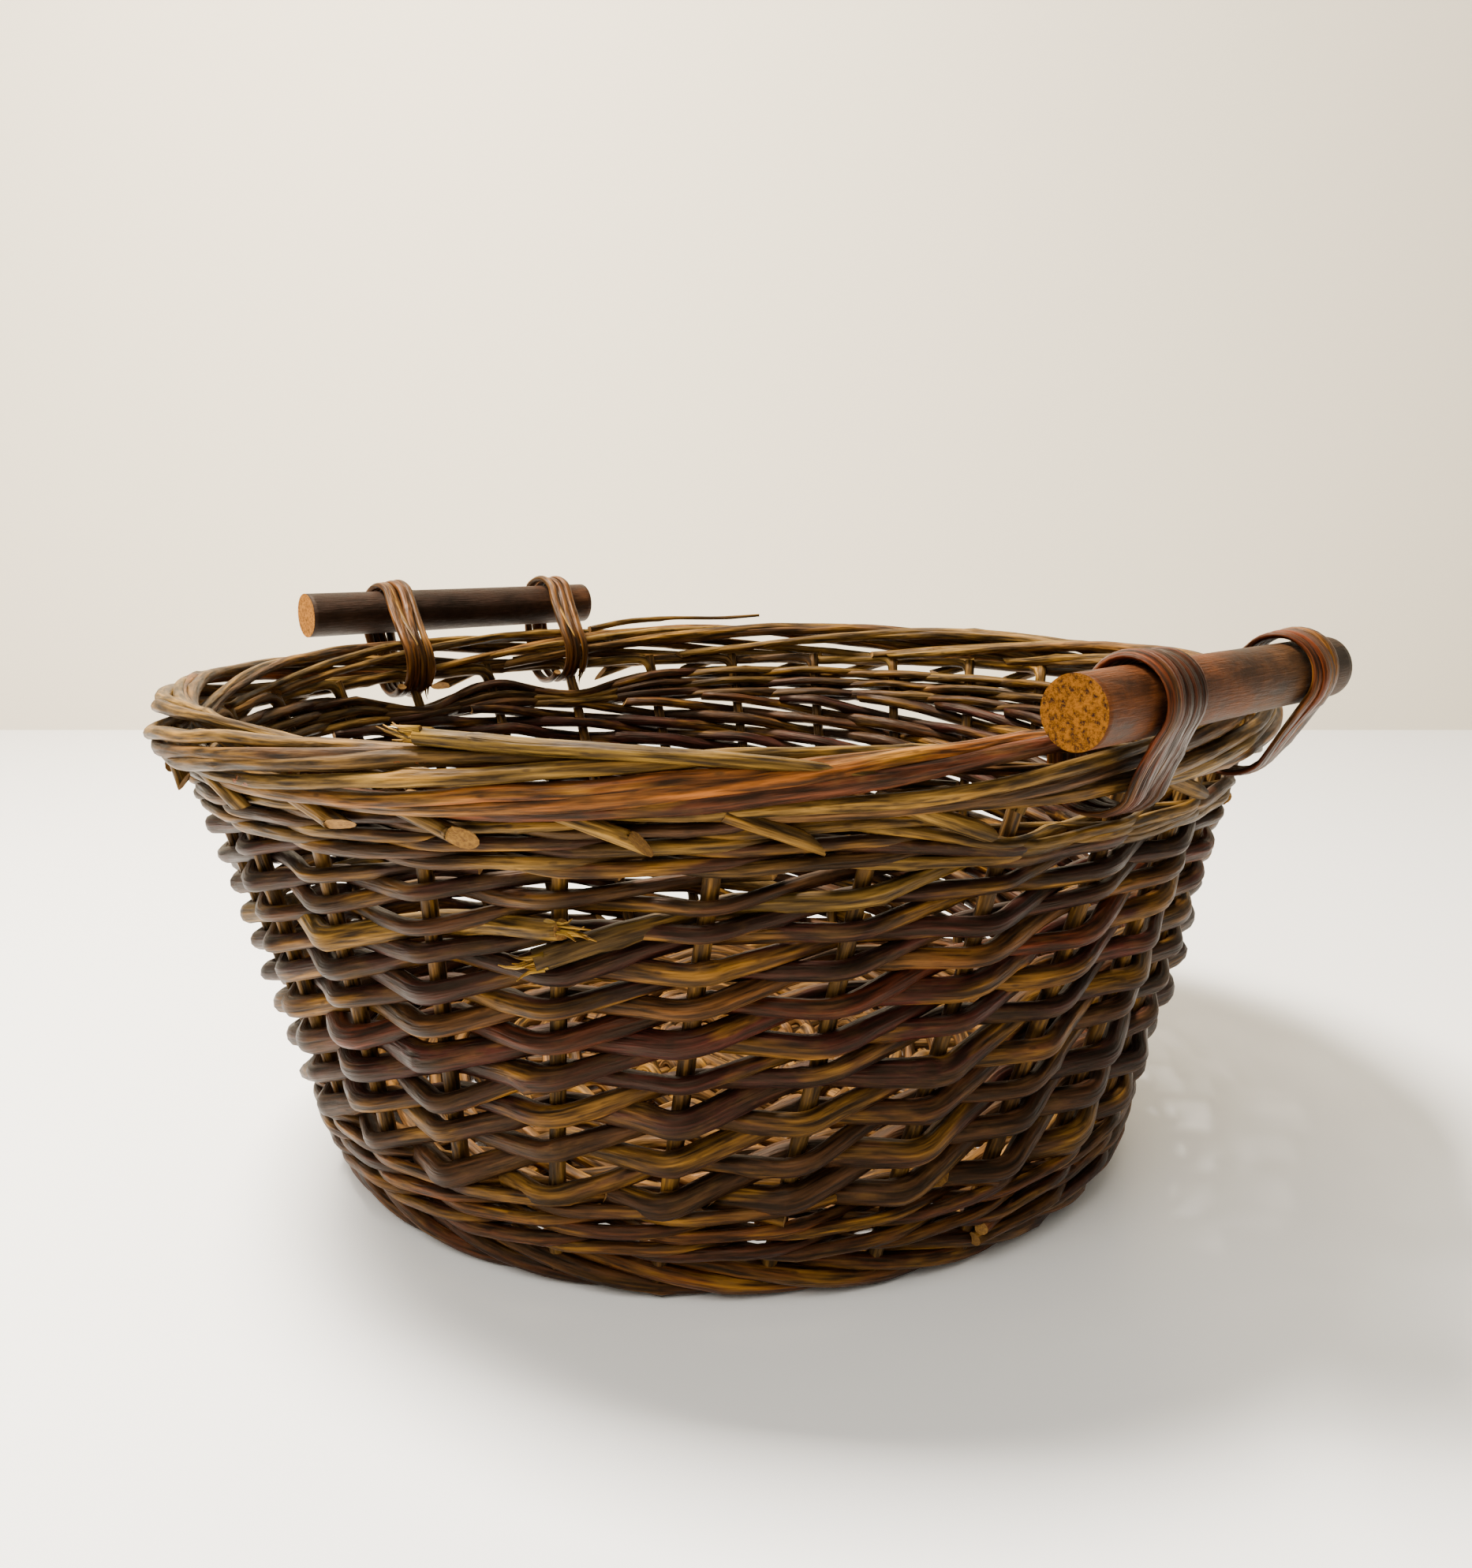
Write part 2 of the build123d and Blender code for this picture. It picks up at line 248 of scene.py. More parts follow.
def willow_bark(name, gloss, wrinkle_depth, pale_dust_and_highlight, tan):
    """Dried willow bark. The eye sees fine lengthwise wrinkles and streaks, painted darker in their
    grooves and lighter on their ridges as painted shade and highlight over the bark's own colour,
    dark specks, pale scuffs and dusting that also serve as painted highlights, flakes lifted
    off orange inner bark, and a dull shine on the high sides."""
    material, tree, shader = new_material(name)
    bark = add_node(tree, "Attribute", attribute_name="bark").outputs["Vector"]
    skin = add_node(tree, "Attribute", attribute_name="skin").outputs["Color"]
    scar = add_node(tree, "Attribute", attribute_name="scar").outputs["Fac"]
    peel = add_node(tree, "Attribute", attribute_name="peel").outputs["Fac"]
    # Wrinkles are about 1.5 mm apart and 20 mm long, and streaks are twice that.
    long_ways = add_node(tree, "VectorMath", {0: bark, 1: (1.0, 1.0, 0.08)},
                         operation="MULTIPLY").outputs[0]
    wrinkles = add_node(tree, "TexNoise", {"Vector": long_ways, "Scale": 640.0, "Detail": 3.0,
                                           "Roughness": 0.6}).outputs["Fac"]
    streaks = add_node(tree, "TexNoise", {"Vector": long_ways, "Scale": 320.0,
                                          "Detail": 2.0}).outputs["Fac"]
    # Blotches are about 9 mm across and 23 mm long.
    stretched = add_node(tree, "VectorMath", {0: bark, 1: (1.0, 1.0, 0.4)},
                         operation="MULTIPLY").outputs[0]
    blotches = add_node(tree, "TexNoise", {"Vector": stretched, "Scale": 110.0, "Detail": 4.0,
                                           "Roughness": 0.65}).outputs["Fac"]
    # The wrinkles and streaks darken the colour in their grooves and lighten it on their ridges, in
    # step with the bump below: painted shade and painted highlight over the bark's own streaky
    # colour.
    dark = add_node(tree, "MapRange", {"Value": wrinkles, "From Min": 0.34, "From Max": 0.66,
                                       "To Min": 0.2, "To Max": 1.65}).outputs[0]
    broad = add_node(tree, "MapRange", {"Value": streaks, "From Min": 0.32, "From Max": 0.68,
                                        "To Min": 0.35, "To Max": 1.75}).outputs[0]
    both = add_node(tree, "Math", {0: dark, 1: broad}, operation="MULTIPLY").outputs[0]
    # The bark goes from purple to olive and tan in patches about 13 mm wide and 65 mm long.
    patchy = add_node(tree, "VectorMath", {0: bark, 1: (1.0, 1.0, 0.2)},
                      operation="MULTIPLY").outputs[0]
    patches = add_node(tree, "TexNoise", {"Vector": patchy, "Scale": 75.0, "Detail": 3.0,
                                          "Roughness": 0.6}).outputs["Fac"]
    tanned = add_node(tree, "MapRange", {"Value": patches, "From Min": 0.52, "From Max": 0.64,
                                         "To Min": 0.0, "To Max": tan}).outputs[0]
    ground = add_node(tree, "Mix", {0: tanned, 6: skin, 7: (*linear("#674712"), 1)},
                      data_type="RGBA").outputs[2]
    base = add_node(tree, "VectorMath", {0: ground, "Scale": both},
                    operation="SCALE").outputs[0]
    # Specks, the breathing pores of the bark, are about 1 mm wide and stand 4 mm apart.
    pores = add_node(tree, "TexVoronoi", {"Vector": stretched, "Scale": 230.0,
                                          "Randomness": 1.0}).outputs["Distance"]
    speck = add_node(tree, "MapRange", {"Value": pores, "From Min": 0.1, "From Max": 0.2,
                                        "To Min": 0.55, "To Max": 0.0}).outputs[0]
    specked = add_node(tree, "Mix", {0: speck, 6: base, 7: (*linear("#100804"), 1)},
                       data_type="RGBA").outputs[2]
    # Dust and scuffs lie on the blotches' high places. The same pale mix, stronger on the
    # wrinkles' ridges, is also painted highlight.
    scuffs_and_painted_highlights = add_node(tree, "MapRange", {"Value": blotches, "From Min": 0.52, "From Max": 0.8,
                                          "To Min": 0.0, "To Max": pale_dust_and_highlight}).outputs[0]
    fine = add_node(tree, "Math", {0: scuffs_and_painted_highlights, 1: dark}, operation="MULTIPLY").outputs[0]
    dusted_and_highlighted = add_node(tree, "Mix", {0: fine, 6: specked, 7: (*linear("#5f4724"), 1)},
                     data_type="RGBA").outputs[2]
    # Where the outer bark has flaked off, the orange inner bark shows with a sharp edge.
    flakes = add_node(tree, "TexNoise", {"Vector": stretched, "Scale": 75.0, "Detail": 5.0,
                                         "Roughness": 0.7}).outputs["Fac"]
    gap = add_node(tree, "Math", {0: flakes, 1: peel}, operation="ADD").outputs[0]
    bare = add_node(tree, "MapRange", {"Value": gap, "From Min": 0.985, "From Max": 1.0}).outputs[0]
    inner = add_node(tree, "Mix", {0: blotches, 6: (*linear("#4a1f08"), 1),
                                   7: (*linear("#703c12"), 1)}, data_type="RGBA").outputs[2]
    flaked = add_node(tree, "Mix", {0: bare, 6: dusted_and_highlighted, 7: inner}, data_type="RGBA").outputs[2]
    # A bud leaves a dark raised scar.
    marked = add_node(tree, "MapRange", {"Value": scar, "From Min": 0.55, "From Max": 0.95,
                                         "To Min": 0.0, "To Max": 0.75}).outputs[0]
    coloured = add_node(tree, "Mix", {0: marked, 6: flaked, 7: (*linear("#160b04"), 1)},
                        data_type="RGBA").outputs[2]
    tree.links.new(coloured, shader.inputs["Base Color"])
    rough = add_node(tree, "MapRange", {"Value": blotches, "From Min": 0.3, "From Max": 0.75,
                                        "To Min": gloss, "To Max": gloss + 0.25}).outputs[0]
    tree.links.new(rough, shader.inputs["Roughness"])
    shader.inputs["Specular IOR Level"].default_value = 0.22
    shader.inputs["Specular Tint"].default_value = (*linear("#ecc8a8"), 1)
    relief = add_node(tree, "Math", {0: wrinkles, 1: streaks}, operation="ADD").outputs[0]
    lifted = add_node(tree, "Math", {0: bare, 1: -0.5, 2: relief},
                      operation="MULTIPLY_ADD").outputs[0]
    bump = add_node(tree, "Bump", {"Height": lifted, "Strength": 0.8,
                                   "Distance": wrinkle_depth / 1000}).outputs[0]
    tree.links.new(bump, shader.inputs["Normal"])
    return material


def cut_willow(name, pale, ring):
    """The cut end of a rod. The eye sees dry, pale wood with specks under 1 mm and no shine."""
    material, tree, shader = new_material(name)
    bark = add_node(tree, "Attribute", attribute_name="bark").outputs["Vector"]
    grain = add_node(tree, "TexNoise", {"Vector": bark, "Scale": 1100.0, "Detail": 3.0,
                                        "Roughness": 0.7}).outputs["Fac"]
    spread = add_node(tree, "MapRange", {"Value": grain, "From Min": 0.3,
                                         "From Max": 0.7}).outputs[0]
    colour = add_node(tree, "Mix", {0: spread, 6: (*linear(ring), 1), 7: (*linear(pale), 1)},
                      data_type="RGBA").outputs[2]
    tree.links.new(colour, shader.inputs["Base Color"])
    bump = add_node(tree, "Bump", {"Height": grain, "Strength": 0.7, "Distance": 0.0005})
    tree.links.new(bump.outputs[0], shader.inputs["Normal"])
    shader.inputs["Roughness"].default_value = 0.9
    return material


siding_bark = willow_bark("willow_bark_dark", gloss=0.4, wrinkle_depth=0.6, pale_dust_and_highlight=0.35, tan=0.5)
border_bark = willow_bark("willow_bark_weathered", gloss=0.42, wrinkle_depth=0.7, pale_dust_and_highlight=0.5,
                          tan=0.6)
cut_end = cut_willow("willow_cut_end", "#936926", "#593912")

stake_rods = []
for number in range(stake_count):
    chance = random.Random(number)
    line = [stake_point(number, z) for z in np.linspace(stake_low - 3, stake_high, 30)]
    shade = chance.choice([["#412b0f", "#4a3414"], ["#37240e", "#432d10"], ["#473212", "#37250e"]])
    stake_rods.append(lay_rod(line, [stake_radius * 1.05, stake_radius * 0.95], shade,
                              seed=100 + number, knots=70, lumps=0.04))
stakes = make_piece("willow_stakes", stake_rods, border_bark, cut_end)
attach(stakes, "basket")
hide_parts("stakes")

# ---------------------------------------------------------------------------
# The siding. One willow rod starts beside each stake, and all of them climb the wall together,
# in front of one stake and behind the next. They are thick at the butt, thin at the tip, and
# packed closer near the top. Most are a dark purple-brown kind of willow.
# ---------------------------------------------------------------------------
siding_steps = 17
first_row = 49.8
row_climb = 9.3
row_crowding = 0.1025
row_dip = (1.7, 0.3)
row_unevenness = 2.1
siding_room = 0.4
siding_thick = (4.8, 4.6, 4.2, 3.0)
aubergine = ["#200c08", "#1b0b07", "#210c08", "#180b07"]
burgundy = ["#220b07", "#280d08", "#200b07"]
umber = ["#281508", "#241207", "#281507"]
olive = ["#311d0a", "#39210a", "#3e260d"]
russet = ["#2d1107", "#391507", "#301207"]
ash = ["#28170a", "#221309", "#201108"]
siding_shades = [aubergine, burgundy, aubergine, umber, aubergine, olive, burgundy, aubergine,
                 ash, aubergine, russet, burgundy, umber, aubergine]


def beside_stake(number, height, offset):
    """A point in front of a stake, or behind it where the offset is negative."""
    turn = stake_turn(number, height)
    out = wall_point(turn, height, 1.0) - wall_point(turn, height)
    along = stake_point(number, stake_high) - stake_point(number, stake_low)
    square = out - along * out.dot(along) / along.dot(along)
    return stake_point(number, height) + unit(square) * offset


def bend(corners, shoulder, arc_steps=5, run_step=7.0):
    """A path through corners with each one eased into an arc, as a rod bends round a stake."""
    corners = [np.asarray(c, float) for c in corners]
    path = [corners[0]]
    for before, corner, after in zip(corners, corners[1:], corners[2:]):
        back = before - corner
        ahead = after - corner
        reach_back = min(shoulder, np.linalg.norm(back) * 0.48)
        reach_ahead = min(shoulder, np.linalg.norm(ahead) * 0.48)
        start = corner + unit(back) * reach_back
        end = corner + unit(ahead) * reach_ahead
        gap = np.linalg.norm(start - path[-1])
        runs = max(1, int(gap / run_step))
        path += [path[-1] + (start - path[-1]) * k / runs for k in range(1, runs + 1)]
        for k in range(1, arc_steps + 1):
            t = k / arc_steps
            path.append(start * (1 - t) ** 2 + corner * 2 * t * (1 - t) + end * t * t)
    gap = np.linalg.norm(corners[-1] - path[-1])
    runs = max(1, int(gap / run_step))
    last = path[-1]
    path += [last + (corners[-1] - last) * k / runs for k in range(1, runs + 1)]
    return np.array(path)


def siding_path(first_stake, thick, chance):
    """A siding rod's way round the stakes, one row higher for every two stakes."""
    corners = []
    for step in range(-1, siding_steps + 2):
        height = first_row + row_climb * step - row_crowding * step * step
        side = 1 if step % 2 == 0 else -1
        share = (step + 1) / (siding_steps + 2)
        dip = row_dip[0] + (row_dip[1] - row_dip[0]) * share
        height += chance.uniform(-row_unevenness, row_unevenness) - side * dip
        radius = np.interp(share, np.linspace(0, 1, len(thick)), thick)
        offset = stake_radius + radius + siding_room
        corners.append(beside_stake(first_stake + step, height, side * offset))
    # The butt and the tip are cut off before they reach the next stake.
    corners[0] = corners[1] + (corners[0] - corners[1]) * 0.62
    corners[-1] = corners[-2] + (corners[-1] - corners[-2]) * 0.4
    return corners


def splinters(end, way, radius, shade, seed, count=9):
    """The torn fibres that stand out of a broken end."""
    chance = random.Random(seed)
    slivers = []
    for k in range(count):
        start = end + np.array([chance.uniform(-0.6, 0.6) * radius for _ in range(3)])
        lean = np.array([chance.uniform(-0.3, 0.3) for _ in range(3)])
        reach = chance.uniform(4.0, 11.0)
        line = [start + (way + lean * share) * reach * share for share in (-0.4, 0.3, 0.7, 1.0)]
        slivers.append(lay_rod(line, [radius * 0.32, radius * 0.22, radius * 0.06], shade,
                               seed=seed + k, sides=6, flat=0.6, knots=500))
    return slivers


broken_rod = 10
broken_step = 15
broken_gap = 5.0
torn_wood = ["#876926", "#745217"]
for number in range(stake_count):
    chance = random.Random(500 + number)
    thick = [r * chance.uniform(0.86, 1.12) for r in siding_thick]
    corners = siding_path(number, thick, chance)
    look = dict(knots=60, lumps=0.12, peel=chance.uniform(0.0, 0.1), twist=1.5, waver=0.85)
    shade = [ash[0]] + siding_shades[number * 5 % len(siding_shades)]
    shoulder = chance.uniform(5.0, 12.0)
    if number == broken_rod:
        # This rod has snapped over a stake, and its two torn ends have sprung apart.
        shade = ["#30230e", "#3e2e10", "#563f16"]
        corner = corners[broken_step]
        out = unit(corner) * np.array([1, 1, 0])
        left = unit(corner - corners[broken_step - 1])
        right = unit(corners[broken_step + 1] - corner)
        first_end = corner + left * broken_gap + np.array([0, 0, 4.0])
        second_start = corner + out * 4 - right * broken_gap + np.array([0, 0, -6.0])
        rods = [lay_rod(bend(corners[:broken_step] + [corner + [0, 0, 3.0], first_end], 6.0),
                        thick[:3], shade, seed=210, **look),
                lay_rod(bend([second_start] + corners[broken_step + 1:], shoulder),
                        thick[2:], shade, seed=211, **look)]
        rods += splinters(first_end, left, thick[2], torn_wood, 2101)
        rods += splinters(second_start, -right, thick[2] * 1.2, torn_wood, 2201)
    else:
        rods = [lay_rod(bend(corners, shoulder), thick, shade, seed=200 + number,
                        slant=(1.2, 0.5), **look)]
    piece = make_piece(f"siding_rod_{number + 1:02d}", rods, siding_bark, cut_end)
    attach(piece, "basket")
    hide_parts(f"randing_rod_{number + 1:02d}")

# ---------------------------------------------------------------------------
# The wales. Three rods are worked together, each in front of two stakes and behind one, which
# makes a band like a rope. Three rounds set up the stakes above the foot, and three rounds of
# thinner olive and purple rods close the wall under the border. Their purple lies mostly on the
# far side, as painted shade for the inside.
# ---------------------------------------------------------------------------
wale_shoulder = 13.0
wale_room = 0.6
lashed_stakes = (-0.5, 1.5, 13, 15)
lashed_squeeze = 0.75
squeeze_reach = 0.8


def wale_path(rod_number, low, rise, climb, rounds, radius, chance, first_stake=0, lashed=()):
    """A waling rod: low in front of one stake, high in front of the next, behind the third.

    lashed holds the stake numbers of the lashings, where lashed_squeeze of the band's height is
    pressed out of it, over squeeze_reach stakes each way, to leave room for the skein.
    """
    corners = []
    for step in range(int(rounds * stake_count) + 1):
        place = (step - rod_number) % 3
        above = climb * step / stake_count + (0.0, rise, rise * 0.5)[place]
        near = min([abs((first_stake + step - at + stake_count / 2) % stake_count
                        - stake_count / 2) for at in lashed], default=stake_count)
        height = low + above * (1 - lashed_squeeze * math.exp(-(near / squeeze_reach) ** 4))
        height += chance.uniform(-0.4, 0.4)
        offset = stake_radius + radius + wale_room
        side = (1.0, 1.15, -1.0)[place]
        corners.append(beside_stake(first_stake + step, height, side * offset))
    return bend(corners, wale_shoulder)


upsett_radius = 3.1
upsett_low = foot_top - 2.6
upsett_rise = 4.8
upsett_climb = 9.1
for number in range(3):
    chance = random.Random(700 + number)
    rounds = 3.0 - 0.04 * number  # The tips end a stake or two apart.
    path = wale_path(number, upsett_low, upsett_rise, upsett_climb, rounds, upsett_radius, chance)
    shades = (["#361f09", "#40250a", "#2c1709", "#492b0c"], ["#251009", "#2c1508", "#1f0e08"],
              ["#361a09", "#291508", "#40210a", "#2c1909"])[number]
    rod = lay_rod(path, [upsett_radius * 1.05, upsett_radius * 0.9], shades, seed=300 + number,
                  flat=0.9, knots=50, lumps=0.1, peel=0.12, waver=0.7)
    piece = make_piece(f"upsett_wale_rod_{number + 1}", [rod], border_bark, cut_end)
    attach(piece, "basket")
    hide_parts(f"upsett_wale_{number + 1:02d}")

top_wale_radius = 2.7
top_wale_low = 179.5
top_wale_rise = 3.6
top_wale_climb = 6.8
wale_rods = []
for number in range(3):
    chance = random.Random(720 + number)
    path = wale_path(number, top_wale_low, top_wale_rise, top_wale_climb, 3.0, top_wale_radius,
                     chance, first_stake=2, lashed=lashed_stakes)
    # Each rod goes from olive to dark purple and back about once a round. The purple falls
    # mostly on the far side, where it is also painted shade for the inside of the basket.
    shades = (["#3a280f", "#22120b", "#2c1c0c", "#4c3815"],
              ["#33230e", "#241209", "#26130b", "#4c3714"],
              ["#37270e", "#2a180b", "#22120b", "#483513"])[number] * 3
    wale_rods.append(lay_rod(path, [top_wale_radius, top_wale_radius * 0.85], shades,
                             seed=320 + number, knots=60, lumps=0.12, peel=0.1,
                             waver=0.6))
piece = make_piece("top_wale_rods", wale_rods, border_bark, cut_end)
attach(piece, "basket")
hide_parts("top_wale_01", "top_wale_02")

# ---------------------------------------------------------------------------
# The rolled border. Above the wale each stake is laid over to one side and rolled round its
# neighbours: it starts below, climbs slowly over the outside, crosses the top and is tucked
# down inside. The bark here is weathered to tan and olive, and flaked in places.
# ---------------------------------------------------------------------------
border_strand = 3.6
border_ring = border_radius - border_strand - 0.4
roll_per_stake = 36.0
roll_start = -135
roll_end = 215
points_per_stake = 8
border_start_drop = 16.0
border_shades = [["#513a16", "#564018", "#432e11"], ["#4a3514", "#59431b", "#4c3615"],
                 ["#412c16", "#382413", "#442d16"], ["#543c16", "#473213", "#564019"],
                 ["#4b3716", "#542b0e", "#553f17"], ["#3d2910", "#4a3516", "#412c12"],
                 ["#59431b", "#503a16", "#453213"]]


def border_path(first_stake, rate, chance):
    """A strand that rolls round the border's middle as it goes on from its stake.

    It strays inwards from its ring, but hardly outwards, where the lashings need the room.
    """
    places = []
    count = int((roll_end - roll_start) / rate * points_per_stake) + 1
    drift = np.minimum(wander(chance, np.arange(count), 10.0, 1.8), 0.2)
    for k in range(count):
        passed = k / points_per_stake
        roll = math.radians(roll_start + rate * passed)
        turn = (first_stake + passed) * 360 / stake_count
        reach = border_ring + drift[k] + chance.uniform(-0.2, 0.2)
        out = math.cos(roll) * reach
        up = math.sin(roll) * reach
        places.append(wall_point(turn, rim_height, out) + np.array([0, 0, up]))
    return np.array(places)


def smooth_path(places, rounds=2):
    """The same path with its points eased towards their neighbours."""
    places = places.copy()
    for _ in range(rounds):
        places[1:-1] = (places[:-2] + 2 * places[1:-1] + places[2:]) / 4
    return places


# One strand has lost its outer bark along the front, and the one after it is purple.
odd_strands = {21: ["#4b3514", "#583210", "#5c320e", "#3a200c"],
               22: ["#3a1d0d", "#3d1d0f", "#33190d"]}
border_rods = []
for number in range(stake_count):
    chance = random.Random(800 + number)
    path = border_path(number, roll_per_stake * chance.uniform(0.88, 1.12), chance)
    base = stake_point(number, rim_height - border_start_drop)
    path = np.concatenate([[base, base * 0.4 + path[0] * 0.6], path])
    radius = border_strand * chance.uniform(0.72, 1.08)
    shade = odd_strands.get(number, border_shades[number * 3 % len(border_shades)])
    border_rods.append(lay_rod(smooth_path(path), [radius, radius, radius * 0.65], shade,
                               seed=400 + number, knots=80, lumps=0.12,
                               peel=chance.choice([0.1, 0.2, 0.3, 0.34]), slant=(0, 1.0),
                               waver=0.5))
# A short strand on top of the front has snapped, and its torn end stands up pale.
snapped = [wall_point(turn, rim_height + height, out) for turn, height, out in
           ((-62, 15.5, 1.0), (-58, 15.0, 1.5), (-52, 13.6, 2.5), (-46, 12.6, 3.5),
            (-40, 11.0, 5.5), (-34, 8.5, 7.0), (-28, 4.0, 8.5))]
border_rods.append(lay_rod(bend(snapped, 8.0), [4.2, 3.6, 3.0], ["#564216", "#4b3712"], seed=440,
                           lumps=0.1, flat=0.75, waver=0.4))
way = unit(snapped[0] - snapped[1])
border_rods += splinters(snapped[0], way, 5.0, torn_wood, 4401, count=12)
# A thin loose twig lies over the far side of the rim.
twig = [wall_point(turn, rim_height + height, out) for turn, height, out in
        ((163, 12, -6), (157, 15.5, 2), (150, 17, 5), (143, 16.5, 3), (137, 18.5, -1))]
border_rods.append(lay_rod(bend(twig, 8.0), [2.0, 1.5, 0.9], ["#4c3713", "#3c290e"], seed=445,
                           sides=8, knots=30, lumps=0.15))
border = make_piece("rolled_border_strands", border_rods, border_bark, cut_end)
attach(border, "basket")
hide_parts("rolled_border")

# The butts that were pushed in to start the border stick out below it, cut off aslant. There
# is none under a lashing.
butt_rods = []
butt_clearance = 0.65
for number in range(stake_count):
    middle = number + 0.2
    half_round = stake_count / 2
    if min(abs((middle - at + half_round) % stake_count - half_round)
           for at in lashed_stakes) < butt_clearance:
        continue
    chance = random.Random(850 + number)
    turn = (number + chance.uniform(0.35, 0.6)) * 360 / stake_count
    start = wall_point(turn - 6.5, rim_height - 8, border_radius - 9)
    end = wall_point(turn, rim_height - border_radius - chance.uniform(2.5, 5.5),
                     border_radius - chance.uniform(5, 8))
    line = [start + (end - start) * k / 8 for k in range(9)]
    shade = chance.choice([["#543e17", "#5e461d"], ["#433013", "#503a16"]])
    butt_rods.append(lay_rod(line, [3.0, 3.2], shade, seed=450 + number, sides=14, knots=90,
                             slant=(0, 1.7), peel=0.15))
butts = make_piece("border_cut_butts", butt_rods, border_bark, cut_end)
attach(butts, "basket")

# ---------------------------------------------------------------------------
# The foot border. Short stout rods are pushed up beside the stakes under the basket and rolled
# like the rim, so that the basket stands on a ring that can wear.
# ---------------------------------------------------------------------------
foot_strand = 4.1
foot_ring = foot_top / 2 - foot_strand + 1.4
foot_middle = (foot_top - 1.2) / 2
foot_roll_start = 100
foot_roll_per_stake = 74
foot_points_per_stake = 7
foot_points = 31
foot_rods = []
foot_shades = [["#40240a", "#361d09"], ["#2c1509", "#361d0a"], ["#45260a", "#402009"],
               ["#2e1507", "#401e09"], ["#37200a", "#2d1709"]]
for number in range(stake_count):
    chance = random.Random(900 + number)
    places = []
    for k in range(foot_points):
        passed = k / foot_points_per_stake
        roll = math.radians(foot_roll_start - foot_roll_per_stake * passed)
        turn = (number + passed - 0.9) * 360 / stake_count
        out = math.cos(roll) * foot_ring - foot_top / 2 + 0.5
        up = math.sin(roll) * foot_ring
        places.append(wall_point(turn, foot_middle, out) + np.array([0, 0, up]))
    radius = foot_strand * chance.uniform(0.85, 1.08)
    foot_rods.append(lay_rod(smooth_path(np.array(places)), [radius, radius * 0.9],
                             foot_shades[number * 3 % len(foot_shades)], seed=600 + number,
                             flat=0.9, knots=45, lumps=0.12, peel=0.2, slant=(1.0, 1.0)))
foot = make_piece("foot_border_strands", foot_rods, border_bark, cut_end)
# The lowest strand stands on the table.
foot.data.transform(Matrix.Translation((0, 0, -min(v.co.z for v in foot.data.vertices))))
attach(foot, "basket")
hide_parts("foot_border")

# ---------------------------------------------------------------------------
# The base. Five thin sticks pass through slits in five thick ones. All are opened out like
# spokes, and thin rods are woven over and under them from the middle to the wall.
# ---------------------------------------------------------------------------
weave_low, weave_edge = (corner * 1000 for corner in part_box("base_weave_under"))
weave_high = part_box("base_weave_over")[1] * 1000
base_height = (weave_low.z + weave_high.z) / 2
base_half = (weave_edge.x, weave_edge.y)
base_sticks = 5
spoke_step = 90 / base_sticks
fan_start = 30.0
stick_gap = 8


def base_stick(index, along_x, radius, seed):
    """One base stick, straight through the middle and fanned out past it."""
    place = index - (base_sticks - 1) / 2
    swing = math.radians(place * spoke_step)
    reach = base_half[0] + 4
    middle = place * stick_gap
    flat_way = [(-reach * math.cos(swing), reach * math.sin(swing)), (-fan_start, middle),
                (fan_start, middle), (reach * math.cos(swing), reach * math.sin(swing))]
    if not along_x:
        flat_way = [(y, x) for x, y in flat_way]
    corners = [np.array([x, y, base_height]) for x, y in flat_way]
    return lay_rod(bend(corners, 14.0, run_step=10.0), [radius, radius * 0.85, radius],
                   ["#412910", "#4a3214"], seed=seed, knots=70)


for name, along_x, radius in (("base_cross_sticks", True, 4.9), ("base_long_sticks", False, 3.2)):
    sticks = [base_stick(i, along_x, radius, seed=640 + i + 10 * along_x)
              for i in range(base_sticks)]
    piece = make_piece(name + "_bark", sticks, border_bark, cut_end)
    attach(piece, "basket")
    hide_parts(name)

weave_rods = []
stick_half = 3.6
weave_radius = 3.2
weave_rounds = 22
weave_start = 27.0
for ring in range(weave_rounds):
    chance = random.Random(1000 + ring)
    share = (ring + 0.5) / weave_rounds
    half_x = weave_start + (base_half[0] + 3 - weave_start) * share
    half_y = weave_start + (base_half[1] + 3 - weave_start) * share
    corners = []
    spokes = 4 * base_sticks
    for spoke in range(2 * spokes + 1):
        swing = math.radians((spoke / 2) * 360 / spokes)
        over = 1 if (spoke // 2 + ring) % 2 == 0 else -1
        lift = over * (stick_half + weave_radius) if spoke % 2 == 0 else 0.0
        corners.append(np.array([half_x * math.cos(swing), half_y * math.sin(swing),
                                 base_height + lift * 0.95]))
    shade = chance.choice([["#4a3016", "#51361b"], ["#432b13", "#4b3216"], ["#543a1a", "#472e15"]])
    weave_rods.append(lay_rod(bend(corners, 9.0, arc_steps=3, run_step=9.0),
                              [weave_radius * 1.05, weave_radius * 0.9], shade, seed=1040 + ring,
                              sides=8, flat=1.15, knots=90))
weave = make_piece("base_weave_rods", weave_rods, border_bark, cut_end)
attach(weave, "basket")
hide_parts("base_weave_under", "base_weave_over")

# ---------------------------------------------------------------------------
# The handle sticks. Each is a length of unpeeled branch as thick as a thumb, sawn off square
# at both ends. The right one goes from reddish brown to grey brown, and the left is darker.
# ---------------------------------------------------------------------------


